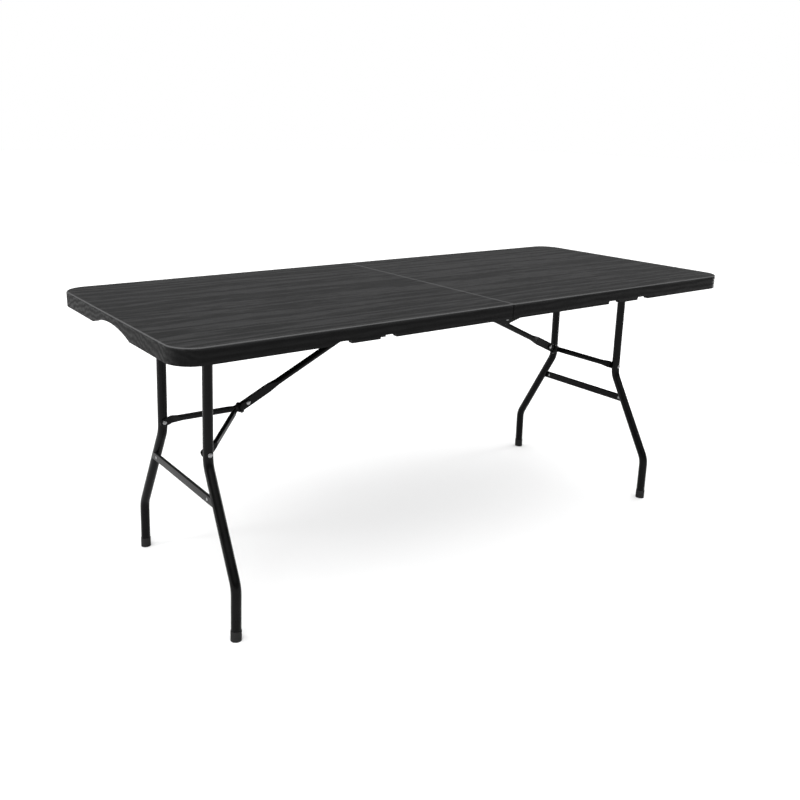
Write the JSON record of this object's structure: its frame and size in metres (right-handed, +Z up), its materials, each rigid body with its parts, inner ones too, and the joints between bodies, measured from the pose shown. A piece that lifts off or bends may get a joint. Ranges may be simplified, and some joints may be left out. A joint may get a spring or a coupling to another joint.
{
  "type": "folding table",
  "caption": "Long bifold banquet table with a black wood-grain moulded top, steel rails, splayed folding leg sets with locking braces, and a tuck-away carry handle.",
  "frame": {"origin": "on the floor, under the middle of the table", "axes": "+X along the length, from the half with the carry handle to the other half; +Y across the width, away from the handle's edge; +Z up"},
  "size_m": [1.8, 0.74, 0.74],
  "materials": {
    "top_plastic": "black polyethylene moulding with an embossed wood grain, satin",
    "frame_steel": "glossy black powder coat on steel tube and strip",
    "zinc_steel": "bright zinc-plated rivets, pins and screws",
    "foot_rubber": "matte black moulded foot caps",
    "handle_plastic": "matte black moulded plastic"
  },
  "bodies": {
    "half_left": {"top_left": "top_plastic", "brace_bracket_left": "frame_steel", "rail_left_front": "frame_steel", "rail_screw_left_front_1": "zinc_steel", "rail_screw_left_front_2": "zinc_steel", "rail_screw_left_front_3": "zinc_steel", "rail_left_back": "frame_steel", "rail_screw_left_back_1": "zinc_steel", "rail_screw_left_back_2": "zinc_steel", "rail_screw_left_back_3": "zinc_steel", "handle_clip_inner": "handle_plastic", "handle_clip_outer": "handle_plastic"},
    "half_right": {"top_right": "top_plastic", "brace_bracket_right": "frame_steel", "rail_right_back": "frame_steel", "rail_screw_right_back_1": "zinc_steel", "rail_screw_right_back_2": "zinc_steel", "rail_screw_right_back_3": "zinc_steel", "rail_right_front": "frame_steel", "rail_screw_right_front_1": "zinc_steel", "rail_screw_right_front_2": "zinc_steel", "rail_screw_right_front_3": "zinc_steel"},
    "hinge_pins": {"hinge_pin_front": "zinc_steel", "hinge_pin_back": "zinc_steel"},
    "handle": {"carry_handle": "handle_plastic"},
    "leg_set_left": {"pivot_tube_left": "frame_steel", "stretcher_left": "frame_steel", "leg_left_front": "frame_steel", "leg_rivet_left_front": "zinc_steel", "stretcher_rivet_left_front": "zinc_steel", "leg_left_back": "frame_steel", "leg_rivet_left_back": "zinc_steel", "stretcher_rivet_left_back": "zinc_steel", "foot_cap_left_front": "foot_rubber", "foot_cap_left_back": "foot_rubber"},
    "yoke_left": {"yoke_arm_left_front": "frame_steel", "yoke_rivet_left_front": "zinc_steel", "yoke_arm_left_back": "frame_steel", "yoke_rivet_left_back": "zinc_steel", "knuckle_rivet_left": "zinc_steel"},
    "brace_left_link": {"brace_left": "frame_steel"},
    "ring_left": {"lock_ring_left": "frame_steel"},
    "leg_set_right": {"pivot_tube_right": "frame_steel", "stretcher_right": "frame_steel", "leg_right_back": "frame_steel", "leg_rivet_right_back": "zinc_steel", "stretcher_rivet_right_back": "zinc_steel", "leg_right_front": "frame_steel", "leg_rivet_right_front": "zinc_steel", "stretcher_rivet_right_front": "zinc_steel", "foot_cap_right_back": "foot_rubber", "foot_cap_right_front": "foot_rubber"},
    "yoke_right": {"yoke_arm_right_back": "frame_steel", "yoke_rivet_right_back": "zinc_steel", "yoke_arm_right_front": "frame_steel", "yoke_rivet_right_front": "zinc_steel", "knuckle_rivet_right": "zinc_steel"},
    "brace_right_link": {"brace_right": "frame_steel"},
    "ring_right": {"lock_ring_right": "frame_steel"}
  },
  "joints": [
    {"name": "hinge_pin_turn", "type": "hinge", "parent": "half_left", "child": "hinge_pins", "pos_m": [0, 0, 0.701], "axis": [0, 1, 0], "range_deg": [0, 90]},
    {"name": "half_fold", "type": "hinge", "parent": "hinge_pins", "child": "half_right", "pos_m": [0, 0, 0.701], "axis": [0, 1, 0], "range_deg": [0, 90]},
    {"name": "handle_swing", "type": "hinge", "parent": "half_left", "child": "handle", "pos_m": [-0.451, -0.322, 0.701], "axis": [-1, 0, 0], "range_deg": [0, 180]},
    {"name": "leg_fold_left", "type": "hinge", "parent": "half_left", "child": "leg_set_left", "pos_m": [-0.72518, 0, 0.715], "axis": [0, -1, 0], "range_deg": [0, 91.28]},
    {"name": "brace_swing_left", "type": "hinge", "parent": "half_left", "child": "brace_left_link", "pos_m": [-0.026, 0, 0.721], "axis": [0, 1, 0], "range_deg": [0, 24.65]},
    {"name": "yoke_swing_left", "type": "hinge", "parent": "brace_left_link", "child": "yoke_left", "pos_m": [-0.55596, 0, 0.47398], "axis": [0, -1, 0], "range_deg": [0, 185.36]},
    {"name": "ring_slide_left", "type": "slide", "parent": "brace_left_link", "child": "ring_left", "axis": [0.9064, 0, 0.4225], "range_m": [0, 0.1501]},
    {"name": "leg_fold_right", "type": "hinge", "parent": "half_right", "child": "leg_set_right", "pos_m": [0.72518, 0, 0.715], "axis": [0, 1, 0], "range_deg": [0, 91.28]},
    {"name": "brace_swing_right", "type": "hinge", "parent": "half_right", "child": "brace_right_link", "pos_m": [0.026, 0, 0.721], "axis": [0, -1, 0], "range_deg": [0, 24.65]},
    {"name": "yoke_swing_right", "type": "hinge", "parent": "brace_right_link", "child": "yoke_right", "pos_m": [0.55596, 0, 0.47398], "axis": [0, 1, 0], "range_deg": [0, 185.36]},
    {"name": "ring_slide_right", "type": "slide", "parent": "brace_right_link", "child": "ring_right", "axis": [-0.9064, 0, 0.4225], "range_m": [0, 0.1501]}
  ],
  "couplings": [
    {"joint": "brace_swing_left", "follows": "leg_fold_left", "ratio": 0.27002},
    {"joint": "yoke_swing_left", "follows": "leg_fold_left", "ratio": 2.0307},
    {"joint": "ring_slide_left", "follows": "leg_fold_left", "m_per_rad": 0.094152},
    {"joint": "brace_swing_right", "follows": "leg_fold_right", "ratio": 0.27002},
    {"joint": "yoke_swing_right", "follows": "leg_fold_right", "ratio": 2.0307},
    {"joint": "ring_slide_right", "follows": "leg_fold_right", "m_per_rad": 0.094152}
  ]
}
